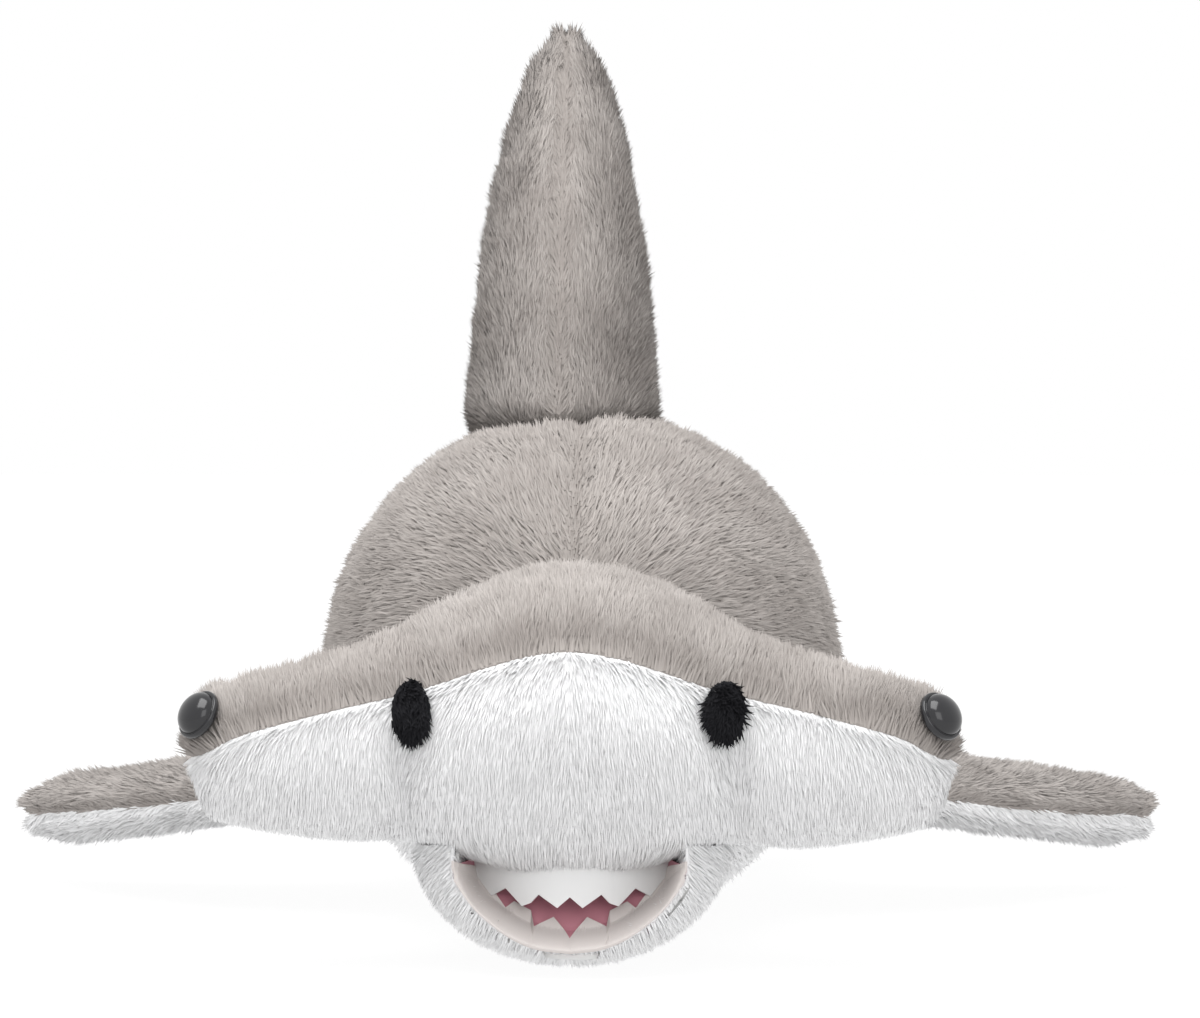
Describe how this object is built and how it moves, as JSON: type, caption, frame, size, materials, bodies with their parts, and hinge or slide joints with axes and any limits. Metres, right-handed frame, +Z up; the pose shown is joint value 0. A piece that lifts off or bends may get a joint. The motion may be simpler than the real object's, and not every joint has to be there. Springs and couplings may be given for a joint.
{
  "type": "plush hammerhead shark",
  "caption": "Plush hammerhead shark with a wide head, open toothed mouth and a tall back fin; head, jaw, fins and tail bend",
  "frame": {"origin": "on the floor, under the middle of the shark's length and width", "axes": "+Z up; the shark faces -Y; +X is the shark's own left"},
  "size_m": [0.3034, 0.3988, 0.232],
  "materials": {
    "grey_plush": "soft",
    "white_plush": "soft",
    "stuffing": "soft",
    "eye_plastic": "gloss",
    "washer_plastic": "matte",
    "nostril_black": "soft",
    "tooth_felt": "soft",
    "cream_felt": "soft",
    "pink_satin": "soft",
    "label_satin": "soft"
  },
  "bodies": {
    "torso": {"back_left": "grey_plush", "back_right": "grey_plush", "belly": "white_plush", "body_fill": "stuffing", "care_label": "label_satin"},
    "head": {"head_top_skin": "grey_plush", "head_under_skin": "white_plush", "head_fill": "stuffing", "eye_left": "eye_plastic", "eye_right": "eye_plastic", "eye_washer_left": "washer_plastic", "eye_washer_right": "washer_plastic", "nostril_left": "nostril_black", "nostril_right": "nostril_black", "upper_teeth": "tooth_felt"},
    "jaw": {"jaw_skin": "white_plush", "jaw_fill": "stuffing", "mouth_lining": "pink_satin", "lower_teeth": "cream_felt"},
    "dorsal_fin": {"dorsal_left": "grey_plush", "dorsal_right": "grey_plush", "dorsal_fill": "stuffing"},
    "pectoral_fin_left": {"pectoral_left_top": "grey_plush", "pectoral_left_under": "white_plush", "pectoral_left_fill": "stuffing"},
    "pectoral_fin_right": {"pectoral_right_top": "grey_plush", "pectoral_right_under": "white_plush", "pectoral_right_fill": "stuffing"},
    "tail_stock": {"tail_back_left": "grey_plush", "tail_back_right": "grey_plush", "tail_belly": "white_plush", "tail_fill": "stuffing"},
    "caudal_fin": {"caudal_left": "grey_plush", "caudal_right": "grey_plush", "caudal_fill": "stuffing"},
    "second_dorsal_fin": {"second_dorsal_left": "grey_plush", "second_dorsal_right": "grey_plush", "second_dorsal_fill": "stuffing"},
    "pelvic_fin_left": {"pelvic_left_top": "grey_plush", "pelvic_left_under": "white_plush", "pelvic_left_fill": "stuffing"},
    "pelvic_fin_right": {"pelvic_right_top": "grey_plush", "pelvic_right_under": "white_plush", "pelvic_right_fill": "stuffing"},
    "anal_fin": {"anal_left": "grey_plush", "anal_right": "grey_plush", "anal_fill": "stuffing"}
  },
  "joints": [
    {"name": "neck_nod", "type": "hinge", "parent": "torso", "child": "head", "pos_m": [0, -0.085, 0.064], "axis": [1, 0, 0], "range_deg": [-15, 10], "stiffness_Nm_per_rad": 6},
    {"name": "jaw_open", "type": "hinge", "parent": "head", "child": "jaw", "pos_m": [0, -0.135, 0.025], "axis": [1, 0, 0], "range_deg": [0, 15], "stiffness_Nm_per_rad": 1, "springref_deg": -5.73},
    {"name": "dorsal_lean", "type": "hinge", "parent": "torso", "child": "dorsal_fin", "pos_m": [0, -0.038, 0.131], "axis": [0, 1, 0], "range_deg": [-15, 15], "stiffness_Nm_per_rad": 2},
    {"name": "pectoral_left_flap", "type": "hinge", "parent": "torso", "child": "pectoral_fin_left", "pos_m": [0.07, -0.051, 0.038], "axis": [0, -1, 0], "range_deg": [-30, 30], "stiffness_Nm_per_rad": 1},
    {"name": "pectoral_right_flap", "type": "hinge", "parent": "torso", "child": "pectoral_fin_right", "pos_m": [-0.07, -0.051, 0.038], "axis": [0, 1, 0], "range_deg": [-30, 30], "stiffness_Nm_per_rad": 1},
    {"name": "tail_swing", "type": "hinge", "parent": "torso", "child": "tail_stock", "pos_m": [0, 0.062, 0.064], "axis": [0, 0, 1], "range_deg": [-25, 25], "stiffness_Nm_per_rad": 1.5},
    {"name": "caudal_swing", "type": "hinge", "parent": "tail_stock", "child": "caudal_fin", "pos_m": [0, 0.138, 0.064], "axis": [0, 0, 1], "range_deg": [-30, 30], "stiffness_Nm_per_rad": 0.3},
    {"name": "second_dorsal_lean", "type": "hinge", "parent": "tail_stock", "child": "second_dorsal_fin", "pos_m": [0, 0.098, 0.0975], "axis": [0, 0.9348, -0.3552], "range_deg": [-15, 15], "stiffness_Nm_per_rad": 0.1},
    {"name": "pelvic_left_flap", "type": "hinge", "parent": "torso", "child": "pelvic_fin_left", "pos_m": [0.0475, 0.024, 0.031], "axis": [0.2391, -0.9565, -0.1674], "range_deg": [-20, 20], "stiffness_Nm_per_rad": 0.1},
    {"name": "pelvic_right_flap", "type": "hinge", "parent": "torso", "child": "pelvic_fin_right", "pos_m": [-0.0475, 0.024, 0.031], "axis": [0.2391, 0.9565, 0.1674], "range_deg": [-20, 20], "stiffness_Nm_per_rad": 0.1},
    {"name": "anal_lean", "type": "hinge", "parent": "tail_stock", "child": "anal_fin", "pos_m": [0, 0.1, 0.0314], "axis": [0, 0.9348, 0.3552], "range_deg": [-15, 15], "stiffness_Nm_per_rad": 0.1}
  ]
}
